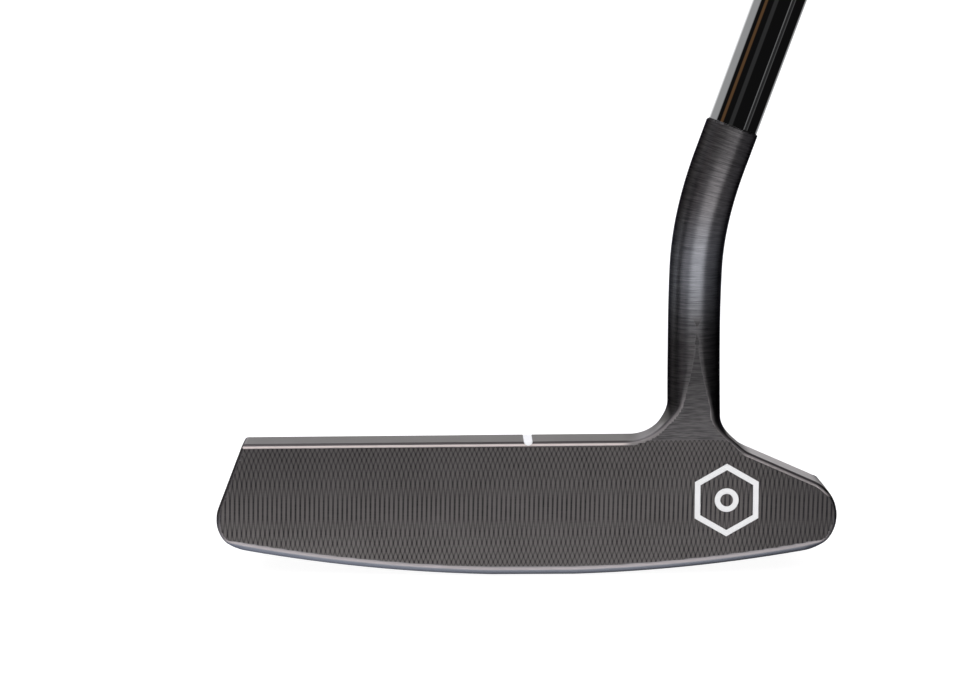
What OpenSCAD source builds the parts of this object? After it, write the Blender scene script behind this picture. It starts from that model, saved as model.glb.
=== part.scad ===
// Blade putter: a one-piece milled head with a flow neck, a stepped steel shaft that fits over a post
// on the neck, and a pistol grip.
// X runs from toe (-) to heel (+), the face looks along -Y, Z is up. The origin is the middle of the
// flat on the sole. Millimetres.

/* [Club] */
// Length from the end of the grip to the ground, measured along the shaft
club_length = 864; // [838:1:914]
// Angle between the shaft and the ground
lie_angle = 70.5; // [69:0.5:72]
// Angle of the face from vertical
loft_angle = 3.5; // [2:0.5:5]

/* [Blade] */
// Reach of the toe from the middle of the sole
toe_reach = 59.5; // [57:0.5:61]
// Reach of the heel from the middle of the sole
heel_reach = 58.8; // [57:0.1:60]
// Height of the top line at the neck
blade_height = 26.2; // [25:0.1:27]
// How much lower the top line is at the toe
topline_fall = 0.3; // [0:0.1:0.8]
// Thickness of the top line
topline_width = 7.2; // [6:0.1:8]
// Thickness of the blade behind the neck and the heel
heel_thickness = 7.4; // [7:0.1:10]
// Depth of the head from leading edge to back edge
head_depth = 27; // [25:0.5:30]
// Distance of the leading edge in front of the origin
leading_edge = 10; // [9:0.5:12]
// Radius of the sole's camber from toe to heel
camber_radius = 280; // [250:2:400]
// Depth of the small flat milled on the sole
sole_flat_depth = 0.1; // [0.05:0.05:0.15]
// Lean of the toe edge from vertical
toe_lean = 21.8; // [18:0.1:25]
// Radius of the toe's lower corner
toe_radius = 6.3; // [5:0.1:8]
// Slope of the heel's upper edge
heel_slope = 22.5; // [22:0.1:26]
// Radius of the heel's end
heel_radius = 6.8; // [6:0.05:8]

/* [Back] */
// Height of the rear flange where it meets the blade
flange_height = 9.2; // [8:0.1:11]
// Height of the rear flange at its back edge
flange_edge_height = 6.2; // [5:0.1:7]
// Height of the heel and toe bumpers
bumper_height = 16; // [14:0.5:18]
// Length of each bumper from the end of the blade
bumper_length = 24; // [18:1:28]
// Depth of each bumper behind the back of the blade
bumper_depth = 9; // [7:0.5:11]
// Radius of the flange's rear corners, seen from above
plan_radius = 13; // [10:0.5:15]

/* [Neck] */
// Position of the neck along the blade
neck_x = 31.6; // [29:0.1:33]
// Diameter of the neck beside the face
neck_diameter = 9.94; // [9.8:0.02:10.4]
// Diameter of the neck at its rim
rim_diameter = 9.9; // [9.7:0.05:10.2]
// Height where the neck starts to bend towards the heel
bend_start = 58.2; // [54:0.1:60]
// Radius of that bend
bend_radius = 65.5; // [56:0.5:70]
// Height of the neck's rim
rim_height = 85.5; // [83:0.5:90]
// Distance of the shaft's axis in front of the origin
neck_flow = 8; // [6:0.5:10]
// Radius of the fillet between the neck and the top line
toe_fillet = 8; // [7:0.5:9]
// Radius of the fillet between the neck and the heel's slope
heel_fillet = 6; // [5:0.5:9]

/* [Shaft] */
// Outside diameter of the shaft's tip
tip_diameter = 9.4; // [9:0.1:9.6]
// Outside diameter of the shaft's butt
butt_diameter = 14.7; // [14:0.1:15.2]
// Thickness of the shaft's wall
shaft_wall = 0.5; // [0.45:0.05:0.6]
// Number of steps between tip and butt
shaft_steps = 12; // [8:1:14]
// Length of the tip below the first step
tip_length = 190; // [150:5:230]
// Distance from one step to the next
step_pitch = 27; // [24:1:30]
// Length of the post on the neck
post_length = 25; // [20:1:28]
// Thickness of the epoxy between post and shaft
bond_gap = 0.15; // [0.1:0.05:0.2]

/* [Grip] */
// Length of the grip
grip_length = 267; // [254:1:279]
// Diameter of the grip's mouth
mouth_diameter = 18.6; // [18.4:0.1:19.4]
// Width of the grip at its butt
grip_butt_width = 25; // [24:0.5:27]
// Distance from the shaft's axis to the flat for the thumbs
grip_flat = 10.4; // [10:0.1:11.5]
// Depth of the pistol swell under the grip's butt
pistol_swell = 5; // [3:0.5:6]
// Thickness of the outer skin
skin_thickness = 1.2; // [1:0.1:1.4]

/* [Marks] */
// Width of the sight line
sight_width = 1.8; // [1.2:0.1:2]
// Width of the hexagon mark across its flats
mark_width = 12.2; // [10:0.2:13]
// Width of the engraved line
mark_line = 1.1; // [0.8:0.1:1.4]
// Depth of the engraving
mark_depth = 0.4; // [0.3:0.05:0.5]

/* [Hidden] */

$fn = 96;
lean = 90 - lie_angle;
back_edge = head_depth - leading_edge;
topline_back = topline_width - leading_edge + blade_height * tan(loft_angle);
heel_back = heel_thickness - leading_edge + blade_height * tan(loft_angle);
neck_radius = neck_diameter / 2;
edge_radius = 0.8;      // front edge of the top line
leading_radius = 2.2;   // leading edge of the sole
sole_relief = 1.2;      // rise of the sole at the back edge
relief_length = 6;      // length of that rise
paint_recess = 0.12;    // how far paint lies below the metal
sight_x = -0.2;
mark_x = 37.6;
mark_z = 14.7;
mark_ring = 4.6;        // outside diameter of the ring in the mark
margin = 1;             // how far cutting shapes run past the head

function face_y(z) = z * tan(loft_angle) - leading_edge;
function arc(centre, radius, from, to, n) =
    [for (i = [0:n]) let (a = from + (to - from) * i / n) centre + radius * [cos(a), sin(a)]];
function smooth(t) = let (c = min(max(t, 0), 1)) c * c * (3 - 2 * c);
function mix(a, b, t) = a + (b - a) * t;

// Front view, as [x, z]: the camber is one circle, and the toe and heel arcs touch it from inside
camber_centre = [0, camber_radius - sole_flat_depth];
function end_centre(x, radius) =
    [x, camber_centre[1] - sqrt(pow(camber_radius - radius, 2) - x * x)];
function camber_touch(centre, radius) =
    camber_centre + (centre - camber_centre) * camber_radius / (camber_radius - radius);
toe_centre = end_centre(toe_radius - toe_reach, toe_radius);
toe_touch = toe_centre + toe_radius * [-cos(toe_lean), sin(toe_lean)];
toe_top_z = blade_height - topline_fall;
toe_top = [toe_touch[0] + (toe_top_z - toe_touch[1]) * tan(toe_lean), toe_top_z];
heel_centre = end_centre(heel_reach - heel_radius, heel_radius);
heel_touch = heel_centre + heel_radius * [sin(heel_slope), cos(heel_slope)];
heel_knee = [heel_touch[0] - (blade_height - heel_touch[1]) / tan(heel_slope), blade_height];

// Cuts away what lies outside an arc, between the two points where it touches its neighbours
module corner_cut(centre, radius, edge_touch, outside) {
    difference() {
        polygon([centre, edge_touch, outside, camber_touch(centre, radius)]);
        translate(centre) circle(r = radius);
    }
}

module front_outline() {
    toe_outside = toe_centre - toe_radius * [3, 1];
    heel_outside = heel_centre + heel_radius * [6, 0];
    difference() {
        intersection() {
            translate(camber_centre) circle(r = camber_radius, $fn = 720);
            polygon([toe_top, heel_knee, heel_touch, heel_outside, [heel_outside[0], 0],
                     [toe_outside[0], 0], toe_outside, toe_touch]);
        }
        corner_cut(toe_centre, toe_radius, toe_touch, toe_outside);
        corner_cut(heel_centre, heel_radius, heel_touch, heel_outside);
    }
}

module along_y(from, to) {
    translate([0, to, 0]) rotate([90, 0, 0]) linear_extrude(to - from) children();
}

module along_x(from, to) {
    translate([from, 0, 0]) rotate([90, 0, 90]) linear_extrude(to - from) children();
}

// Side view of the blade in [y, z]: lofted face, round leading edge and top edge
module blade_section(back) {
    lead = leading_radius * tan(45 - loft_angle / 2);
    top = edge_radius * tan(45 + loft_angle / 2);
    polygon(concat(
        [[back, 0]],
        arc([lead - leading_edge, leading_radius], leading_radius, 270, 180 - loft_angle, 8),
        arc([face_y(blade_height) + top, blade_height - edge_radius], edge_radius,
            180 - loft_angle, 90, 6),
        [[back, blade_height]]));
}

// Side view of the flange behind the blade
module flange_section(front_height, edge_height, depth) {
    polygon([[topline_back - 3, 0], [back_edge - relief_length, 0], [back_edge, sole_relief],
             [back_edge, edge_height], [topline_back + depth, front_height],
             [topline_back - 3, front_height]]);
}

module plan_outline() {
    left = -toe_reach - margin;
    right = heel_reach + margin;
    front = -leading_edge - margin;
    translate([left, front]) square([right - left, back_edge - plan_radius - front]);
    translate([left + plan_radius, front])
        square([right - left - 2 * plan_radius, back_edge - front]);
    for (x = [left + plan_radius, right - plan_radius])
        translate([x, back_edge - plan_radius]) circle(r = plan_radius);
}

// Thickens the blade from its top line to the neck, seen from above
module neck_shoulder() {
    start = neck_x - neck_radius - toe_fillet;
    polygon([[start, topline_back], [neck_x - neck_radius, heel_back],
             [neck_x, heel_back], [neck_x, topline_back - 3], [start, topline_back - 3]]);
}

module head_blank() {
    left = -toe_reach - margin;
    right = heel_reach + margin;
    intersection() {
        along_y(-leading_edge - margin, back_edge + margin) front_outline();
        linear_extrude(blade_height + margin) plan_outline();
        union() {
            along_x(left, right) blade_section(topline_back);
            along_x(neck_x - neck_radius, right) blade_section(heel_back);
            linear_extrude(base_z) neck_shoulder();
            along_x(left, right) flange_section(flange_height, flange_edge_height, 1);
            for (from = [left, right - bumper_length])
                along_x(from, from + bumper_length)
                    flange_section(bumper_height, flange_height, bumper_depth);
        }
    }
}

// The neck's axis: up beside the face, forward in an S, and over to the lean of the shaft
bend_end = bend_start + bend_radius * sin(lean);
flow_start = 47;
flow_end = 81;
face_inset = 0.02;      // keeps the neck's front just behind the face
function axis_x(z) =
    z < bend_start ? neck_x
    : z < bend_end ? neck_x + bend_radius - sqrt(pow(bend_radius, 2) - pow(z - bend_start, 2))
    : neck_x + bend_radius * (1 - cos(lean)) + (z - bend_end) * tan(lean);
function flow(z) = smooth((z - flow_start) / (flow_end - flow_start));
function axis_y(z) =
    mix(face_y(z) + (neck_radius + face_inset) / cos(loft_angle), -neck_flow, flow(z));
function axis_point(z) = [axis_x(z), axis_y(z), z];
rim_centre = axis_point(rim_height);

// Fillets widen the neck where it grows out of the top line and the heel slope
toe_fillet_z = blade_height + toe_fillet;
heel_fillet_x = neck_x + neck_radius + heel_fillet;
heel_fillet_z = blade_height + heel_fillet / cos(heel_slope)
    - (heel_fillet_x - heel_knee[0]) * tan(heel_slope);
// How far a fillet reaches out from the neck at a height, down to where it touches a slope
function fillet_reach(radius, slope, centre_z, z) =
    let (drop = min(max(centre_z - z, 0), radius * cos(slope)))
    radius - sqrt(pow(radius, 2) - pow(drop, 2));
// The section turns from a rounded rectangle into a circle
base_z = blade_height - 2;
round_z = blade_height + 18;
function roundness(z) = min(max((z - base_z) / (round_z - base_z), 0), 1);

// The corners' points lie 5 degrees off the axes, so that no two of them meet where the ring is round
function neck_ring(z) =
    let (step = 0.5,
         c = axis_point(z),
         ahead = axis_point(z + step) - axis_point(z - step),
         e1 = [ahead[2], 0, -ahead[0]] / norm([ahead[2], ahead[0]]),
         tangent = ahead / norm(ahead),
         e2 = cross(tangent, e1),
         radius = mix(neck_radius, rim_diameter / 2, flow(z)),
         r = mix(1.2, radius, roundness(z)),
         toe_spread = fillet_reach(toe_fillet, 0, toe_fillet_z, z),
         heel_spread = fillet_reach(heel_fillet, heel_slope, heel_fillet_z, z),
         right = radius - r + heel_spread,
         left = r - radius - toe_spread,
         deep = radius - r,
         thin = (heel_back - topline_back) * toe_spread / toe_fillet,
         centres = [[right, deep], [left, deep - thin], [left, -deep], [right, -deep]])
    [for (k = [0:3])
        for (p = arc(centres[k], r, 90 * k + 5, 90 * k + 85, 8))
            c + p[0] * e1 + p[1] * e2];

function closed_rings(rings) =
    let (n = len(rings[0]), m = len(rings))
    concat([[for (i = [0:n - 1]) i]],
           [for (j = [0:m - 2]) for (i = [0:n - 1])
                [j * n + i, (j + 1) * n + i, (j + 1) * n + (i + 1) % n, j * n + (i + 1) % n]],
           [[for (i = [n - 1:-1:0]) (m - 1) * n + i]]);

module loft(rings) {
    polyhedron(points = [for (ring = rings) for (p = ring) p], faces = closed_rings(rings));
}

module flow_neck() {
    base = [for (z = [base_z:1:round_z]) neck_ring(z)];
    bend = [for (z = [round_z + 2:2.5:rim_height - 1]) neck_ring(z)];
    loft(concat(base, bend, [neck_ring(rim_height)]));
}

// Puts a shape that stands along +Z on the shaft's axis, with its foot at the neck's rim
module on_shaft() {
    translate(rim_centre) rotate([0, lean, 0]) children();
}

shaft_bore = tip_diameter / 2 - shaft_wall;
butt_end = club_length - rim_height / cos(lean);

module sight_groove() {
    along_y(-leading_edge, topline_back + 1)
        translate([sight_x, blade_height]) circle(r = sight_width / 2);
}

// Places a flat shape on the face, with its back at the given depth
module on_face(depth, height) {
    translate([mark_x, face_y(mark_z), mark_z]) rotate([90 - loft_angle, 0, 0])
        translate([0, 0, -depth]) linear_extrude(height) children();
}

module mark_outline() {
    outer = mark_width / 2 / cos(30);
    inner = (mark_width / 2 - mark_line) / cos(30);
    difference() {
        rotate(30) circle(r = outer, $fn = 6);
        rotate(30) circle(r = inner, $fn = 6);
    }
    difference() {
        circle(d = mark_ring);
        circle(d = mark_ring - 2 * mark_line);
    }
}

module putter_head() {
    color([0.25, 0.25, 0.26]) {
        difference() {
            union() {
                head_blank();
                flow_neck();
            }
            sight_groove();
            on_face(mark_depth, 1) mark_outline();
        }
        on_shaft() translate([0, 0, -2])
            cylinder(r = shaft_bore - bond_gap, h = post_length + 2);
    }
}

module sight_line_fill() {
    color("white") intersection() {
        sight_groove();
        along_x(sight_x - sight_width, sight_x + sight_width) intersection() {
            blade_section(topline_back);
            translate([-leading_edge, 0]) square([head_depth, blade_height - paint_recess]);
        }
    }
}

module face_mark_fill() {
    color("white") on_face(mark_depth, mark_depth - paint_recess) mark_outline();
}

module shaft_bond() {
    color([0.8, 0.75, 0.55]) on_shaft() difference() {
        cylinder(r = shaft_bore, h = post_length - 1);
        translate([0, 0, -1]) cylinder(r = shaft_bore - bond_gap, h = post_length + 1);
    }
}

// Outside radius of the shaft after a number of steps
function step_radius(i) = mix(tip_diameter, butt_diameter, i / shaft_steps) / 2;
shaft_end = butt_end - 4;

// Half section of the stepped tube, moved inwards by an inset
module shaft_section(inset) {
    cone = 1.5;     // length of the cone at each step
    polygon(concat(
        [[0, -inset], [step_radius(0) - inset, -inset]],
        [for (i = [0:shaft_steps - 1]) for (p = [0, 1])
            [step_radius(i + p) - inset, tip_length + i * step_pitch + p * cone]],
        [[step_radius(shaft_steps) - inset, shaft_end + inset], [0, shaft_end + inset]]));
}

module shaft() {
    color([0.75, 0.75, 0.78]) on_shaft() difference() {
        rotate_extrude() shaft_section(0);
        rotate_extrude() shaft_section(shaft_wall);
    }
}

tape_thickness = 0.2;
tape_radius = butt_diameter / 2 + tape_thickness;
grip_start = butt_end - grip_length;
cap_thickness = 4;

module grip_tape() {
    color([0.9, 0.88, 0.8]) on_shaft() translate([0, 0, grip_start + 3]) difference() {
        cylinder(r = tape_radius, h = grip_length - cap_thickness - 3);
        translate([0, 0, -1]) cylinder(r = butt_diameter / 2, h = grip_length + 2);
    }
}

// Ring round the grip at a share of its length, from 0 at the mouth to 1 at the butt. The side towards
// the toe is flat for the thumbs, and the underside swells near the butt.
function grip_ring(share, inset) =
    let (growth = smooth(share * 1.1),
         half = mix(mouth_diameter, grip_butt_width, growth) / 2 - inset,
         flat = mix(mouth_diameter / 2, grip_flat, growth) - inset,
         swell = pistol_swell * smooth((share - 0.35) / 0.6))
    [for (i = [0:47]) let (a = 360 * i / 48, c = cos(a))
        [c > 0 ? c * (half + swell) : c * (half - (half - flat) * pow(-c, 3)),
         sin(a) * half,
         grip_start + share * (grip_length - cap_thickness)]];

module grip_body(inset) {
    rings = 16;
    loft([for (k = [0:rings]) grip_ring(k / rings, inset)]);
}

module grip_core() {
    color([0.2, 0.2, 0.2]) on_shaft() difference() {
        grip_body(skin_thickness);
        translate([0, 0, grip_start - 1]) cylinder(r = tape_radius, h = grip_length + 2);
    }
}

module grip_skin() {
    color([0.08, 0.08, 0.09]) on_shaft() difference() {
        grip_body(0);
        grip_body(skin_thickness);
    }
}

module grip_end_cap() {
    vent = 1.2;
    dome = 2.2;
    outline = [for (p = grip_ring(1, 0)) [p[0], p[1]]];
    color([0.1, 0.1, 0.11]) on_shaft() translate([0, 0, butt_end - cap_thickness]) difference() {
        union() {
            linear_extrude(cap_thickness - dome) polygon(outline);
            translate([0, 0, cap_thickness - dome]) linear_extrude(dome, scale = 0.8) polygon(outline);
        }
        translate([0, 0, -1]) cylinder(r = vent, h = cap_thickness + 2);
    }
}

putter_head();
sight_line_fill();
face_mark_fill();
shaft_bond();
shaft();
grip_tape();
grip_core();
grip_skin();
grip_end_cap();
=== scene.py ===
"""Blade putter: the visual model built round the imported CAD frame."""
import math

import bpy
import numpy as np
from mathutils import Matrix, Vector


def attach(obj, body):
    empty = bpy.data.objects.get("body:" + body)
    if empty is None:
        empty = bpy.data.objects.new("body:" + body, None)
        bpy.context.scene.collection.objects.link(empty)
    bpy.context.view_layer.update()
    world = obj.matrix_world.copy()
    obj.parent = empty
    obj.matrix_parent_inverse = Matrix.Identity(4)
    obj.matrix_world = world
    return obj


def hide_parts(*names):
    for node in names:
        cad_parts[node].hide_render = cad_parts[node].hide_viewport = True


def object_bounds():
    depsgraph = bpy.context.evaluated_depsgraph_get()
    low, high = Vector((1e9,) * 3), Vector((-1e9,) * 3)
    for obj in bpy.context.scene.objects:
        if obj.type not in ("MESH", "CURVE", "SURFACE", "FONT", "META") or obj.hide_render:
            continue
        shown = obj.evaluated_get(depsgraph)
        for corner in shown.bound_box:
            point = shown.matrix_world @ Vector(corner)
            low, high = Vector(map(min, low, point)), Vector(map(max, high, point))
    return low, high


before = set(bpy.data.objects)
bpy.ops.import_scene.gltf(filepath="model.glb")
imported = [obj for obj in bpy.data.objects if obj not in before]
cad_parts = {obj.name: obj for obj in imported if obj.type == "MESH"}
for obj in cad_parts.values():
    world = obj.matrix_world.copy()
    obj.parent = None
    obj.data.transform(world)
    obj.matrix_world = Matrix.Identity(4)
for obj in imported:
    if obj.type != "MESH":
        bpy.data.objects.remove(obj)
cad_low, cad_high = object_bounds()

MM = 0.001

# Driving dimensions of the club in millimetres. They are part.scad's, except where a note
# gives its own value: there the outline is fitted more closely here than in the CAD.
LEAN = math.radians(19.5)
LOFT = math.radians(3.5)
TOE_REACH = 59.5
HEEL_REACH = 58.8
BLADE_HEIGHT = 26.2
TOPLINE_FALL = 0.5  # part.scad: 0.3
TOPLINE_WIDTH = 7.2
HEEL_THICKNESS = 7.4
HEAD_DEPTH = 27
LEADING_EDGE = 10
CAMBER_RADIUS = 306  # part.scad: 280
CAMBER_X = 0.7  # part.scad: 0
SOLE_FLAT_DEPTH = 0.1
TOE_LEAN = math.radians(21.3)  # part.scad: 21.8
TOE_RADIUS = 6.4  # part.scad: 6.3
HEEL_SLOPE = math.radians(23.8)  # part.scad: 22.5
HEEL_RADIUS = 7.25  # part.scad: 6.8
FLANGE_HEIGHT = 9.2
FLANGE_EDGE_HEIGHT = 6.2
BUMPER_HEIGHT = 16
BUMPER_LENGTH = 23  # part.scad: 24
BUMPER_DEPTH = 9
PLAN_RADIUS = 13
SOLE_RELIEF = 1.2
RELIEF_LENGTH = 6
NECK_X = 31.6
NECK_RADIUS = 4.97
RIM_RADIUS = 4.95
BEND_START = 58.2
BEND_RADIUS = 65.5
RIM_HEIGHT = 85.5
NECK_FLOW = 8
FLOW_START = 47
FLOW_END = 81
POST_RADIUS = 4.05
POST_LENGTH = 25
TIP_RADIUS = 4.7
BUTT_RADIUS = 7.35
SHAFT_WALL = 0.5
SHAFT_STEPS = 12
TIP_LENGTH = 190
STEP_PITCH = 27
STEP_CONE = 1.5
CLUB_LENGTH = 864
GRIP_LENGTH = 267
MOUTH_RADIUS = 9.3
GRIP_BUTT_RADIUS = 12.5
GRIP_FLAT = 10.4
PISTOL_SWELL = 5
CAP_THICKNESS = 4
SIGHT_X = -0.2
SIGHT_RADIUS = 0.9
MARK_X = 37.6
MARK_Z = 14.7
MARK_WIDTH = 12.2
MARK_RING = 4.6
MARK_LINE = 1.1
MARK_DEPTH = 0.4
PAINT_RECESS = 0.05  # part.scad: 0.12

# Relief of the rubber grip and its end cap
LIP_RADIUS = 1.5
LIP_DEPTH = 0.9
BEAD_HEIGHT = 5
BEAD_DEPTH = 0.25
BEAD_WIDTH = 1.2
RIB_PITCH = 3.2
RIB_DEPTH = 0.22
SEAM_DEPTH = 0.18
VENT_RADIUS = 1.2
CAP_SKIRT = 1.2
CAP_ROUND = 2.4
CAP_NARROWING = 0.16

# Radii of the visible edges and fillets
TOP_EDGE = 0.8
SOLE_EDGE = 2.2
END_EDGE = 0.7
SPEAR_EDGE = 0.25
SPEAR_TIP_EDGE = 0.02
BACK_EDGE = 0.8
CAVITY_FILLET = 1.6
FRONT_FILLET = 8.3
BACK_FILLET = 7.6
HEEL_FILLET = 6
RIM_EDGE = 0.15
TUBE_EDGE = 0.15
SPEAR_HEIGHT = 24
SPEAR_CUT = 2.2
SPEAR_CURVE = 3.2

# The flat's edge sharpens up the neck, and the face's plane lets go of the neck at its tip
SHARPEN_START = 8
SHARPEN_LENGTH = 14
RELEASE_DEPTH = 12
RELEASE_BELOW_TIP = 6
RELEASE_LENGTH = 10

BACK_EDGE_Y = HEAD_DEPTH - LEADING_EDGE
TOPLINE_BACK = TOPLINE_WIDTH - LEADING_EDGE + BLADE_HEIGHT * math.tan(LOFT)
HEEL_BACK = HEEL_THICKNESS - LEADING_EDGE + BLADE_HEIGHT * math.tan(LOFT)
CAMBER_CENTRE = np.array([CAMBER_X, CAMBER_RADIUS - SOLE_FLAT_DEPTH])


# ---------------------------------------------------------------- the head as a distance field


def smooth(t):
    t = np.clip(t, 0, 1)
    return t * t * (3 - 2 * t)


def mix(a, b, t):
    return a + (b - a) * t


def rounded_max(a, b, r):
    """Intersection of two distance fields with an edge of radius r."""
    corner = np.hypot(np.maximum(a + r, 0), np.maximum(b + r, 0))
    return np.minimum(np.maximum(a, b), -r) + corner


def rounded_min(a, b, r):
    """Union of two distance fields with a fillet of radius r."""
    corner = np.hypot(np.maximum(r - a, 0), np.maximum(r - b, 0))
    return np.maximum(np.minimum(a, b), r) - corner


def end_centre(x, radius):
    """Centre, as (x, z), of an arc that touches the camber from inside."""
    rise = math.sqrt((CAMBER_RADIUS - radius) ** 2 - (x - CAMBER_X) ** 2)
    return np.array([x, CAMBER_CENTRE[1] - rise])


TOE_NORMAL = np.array([-math.cos(TOE_LEAN), math.sin(TOE_LEAN)])
HEEL_NORMAL = np.array([math.sin(HEEL_SLOPE), math.cos(HEEL_SLOPE)])
TOE_CENTRE = end_centre(TOE_RADIUS - TOE_REACH, TOE_RADIUS)
HEEL_CENTRE = end_centre(HEEL_REACH - HEEL_RADIUS, HEEL_RADIUS)


def in_corner(x, z, centre, edge_normal):
    """Where a point lies in the wedge between a corner's two touching normals."""
    down = (centre - CAMBER_CENTRE) / np.linalg.norm(centre - CAMBER_CENTRE)
    turn = math.copysign(1, edge_normal[0] * down[1] - edge_normal[1] * down[0])
    dx = x - centre[0]
    dz = z - centre[1]
    past_edge = (edge_normal[0] * dz - edge_normal[1] * dx) * turn
    past_sole = (down[0] * dz - down[1] * dx) * turn
    return (past_edge > 0) & (past_sole < 0)


def front_outline(x, z):
    """Front view of the blade: distance, and how far its edge looks up (1) or down (-1)."""
    camber = np.hypot(x - CAMBER_X, z - CAMBER_CENTRE[1]) - CAMBER_RADIUS
    camber = np.maximum(camber, -z)
    toe = (x - TOE_CENTRE[0]) * TOE_NORMAL[0] + (z - TOE_CENTRE[1]) * TOE_NORMAL[1] - TOE_RADIUS
    heel = (x - HEEL_CENTRE[0]) * HEEL_NORMAL[0] + (z - HEEL_CENTRE[1]) * HEEL_NORMAL[1]
    heel = heel - HEEL_RADIUS
    fall = TOPLINE_FALL * np.clip((NECK_X - x) / (NECK_X + TOE_REACH), 0, 1)
    top = z - BLADE_HEIGHT + fall
    upper = rounded_max(rounded_max(top, toe, 0.4), heel, 1)
    distance = np.maximum(camber, upper)
    up = np.where(camber > upper, -1, np.where(toe > np.maximum(top, heel), TOE_NORMAL[1], 1))
    for centre, radius, normal in ((TOE_CENTRE, TOE_RADIUS, TOE_NORMAL),
                                   (HEEL_CENTRE, HEEL_RADIUS, HEEL_NORMAL)):
        reach = np.hypot(x - centre[0], z - centre[1])
        corner = in_corner(x, z, centre, normal)
        distance = np.where(corner, reach - radius, distance)
        up = np.where(corner, (z - centre[1]) / np.maximum(reach, 1e-6), up)
    return distance, up


def face_plane(y, z):
    return (z * math.tan(LOFT) - LEADING_EDGE - y) * math.cos(LOFT)


def shelf(y, z, flat_end, front_height, edge_height):
    """Top of a shelf behind the blade: level up to flat_end, then falling to the back edge."""
    slope = math.atan2(front_height - edge_height, BACK_EDGE_Y - flat_end)
    falling = (z - front_height) * math.cos(slope) + (y - flat_end) * math.sin(slope)
    return rounded_max(z - front_height, falling, 2)


def plan_outline(x, y):
    """Seen from above: the back edge with its two round corners."""
    middle = (HEEL_REACH - TOE_REACH) / 2
    half = (HEEL_REACH + TOE_REACH) / 2 + 1
    return rounded_max(np.abs(x - middle) - half, y - BACK_EDGE_Y, PLAN_RADIUS)


def blade_back(x, y, z):
    """Everything in front of the blade's back, on the flange or on the two bumpers."""
    thick = smooth((x - NECK_X + NECK_RADIUS + BACK_FILLET) / BACK_FILLET)
    plane = y - mix(TOPLINE_BACK, HEEL_BACK, thick)
    flange = shelf(y, z, TOPLINE_BACK + 1, FLANGE_HEIGHT, FLANGE_EDGE_HEIGHT)
    bumper = shelf(y, z, TOPLINE_BACK + BUMPER_DEPTH, BUMPER_HEIGHT, FLANGE_HEIGHT)
    inner = np.minimum(x + TOE_REACH, HEEL_REACH - x) - BUMPER_LENGTH
    bumper = rounded_max(bumper, inner, 1.5)
    shelves = rounded_min(flange, bumper, CAVITY_FILLET)
    shelves = rounded_max(shelves, plan_outline(x, y), BACK_EDGE)
    relief = math.atan2(SOLE_RELIEF, RELIEF_LENGTH)
    rising = (y - BACK_EDGE_Y + RELIEF_LENGTH) * math.sin(relief) - z * math.cos(relief)
    shelves = rounded_max(shelves, rising, 1.2)
    return rounded_min(plane, shelves, CAVITY_FILLET)


BEND_END = BEND_START + BEND_RADIUS * math.sin(LEAN)


def axis_x(z):
    bend = np.sqrt(BEND_RADIUS ** 2 - (np.clip(z, BEND_START, BEND_END) - BEND_START) ** 2)
    return NECK_X + BEND_RADIUS - bend + np.maximum(z - BEND_END, 0) * math.tan(LEAN)


def axis_y(z):
    """The neck stands a little in front of the face at its foot, so the face cuts a flat on it."""
    cut = SPEAR_CUT * np.clip(1 - (z - BLADE_HEIGHT) / SPEAR_HEIGHT, 0, 1) ** SPEAR_CURVE
    beside = z * math.tan(LOFT) - LEADING_EDGE + (NECK_RADIUS + 0.02) / math.cos(LOFT) - cut
    return mix(beside, -NECK_FLOW, smooth((z - FLOW_START) / (FLOW_END - FLOW_START)))


def neck_height(x, y, z):
    """Height of the point on the neck's axis that lies nearest."""
    step = 0.25
    height = z
    for _ in range(4):
        height = np.clip(height, 10, RIM_HEIGHT + POST_LENGTH + 5)
        dx = (axis_x(height + step) - axis_x(height - step)) / (2 * step)
        dy = (axis_y(height + step) - axis_y(height - step)) / (2 * step)
        ahead = (x - axis_x(height)) * dx + (y - axis_y(height)) * dy + z - height
        height = height + ahead / (dx * dx + dy * dy + 1)
    return height


def neck(x, y, z):
    height = neck_height(x, y, z)
    reach = np.sqrt((x - axis_x(height)) ** 2 + (y - axis_y(height)) ** 2 + (z - height) ** 2)
    flow = smooth((height - FLOW_START) / (FLOW_END - FLOW_START))
    flare = 0.05 * smooth((FLOW_START - height) / 14)
    side = reach - mix(NECK_RADIUS, RIM_RADIUS, flow) - flare
    return rounded_max(side, rim_distance(x, z), RIM_EDGE), reach


RIM_X = float(axis_x(RIM_HEIGHT))


def rim_distance(x, z):
    """Height above the neck's rim, along the shaft."""
    return (x - RIM_X) * math.sin(LEAN) + (z - RIM_HEIGHT) * math.cos(LEAN)


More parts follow.
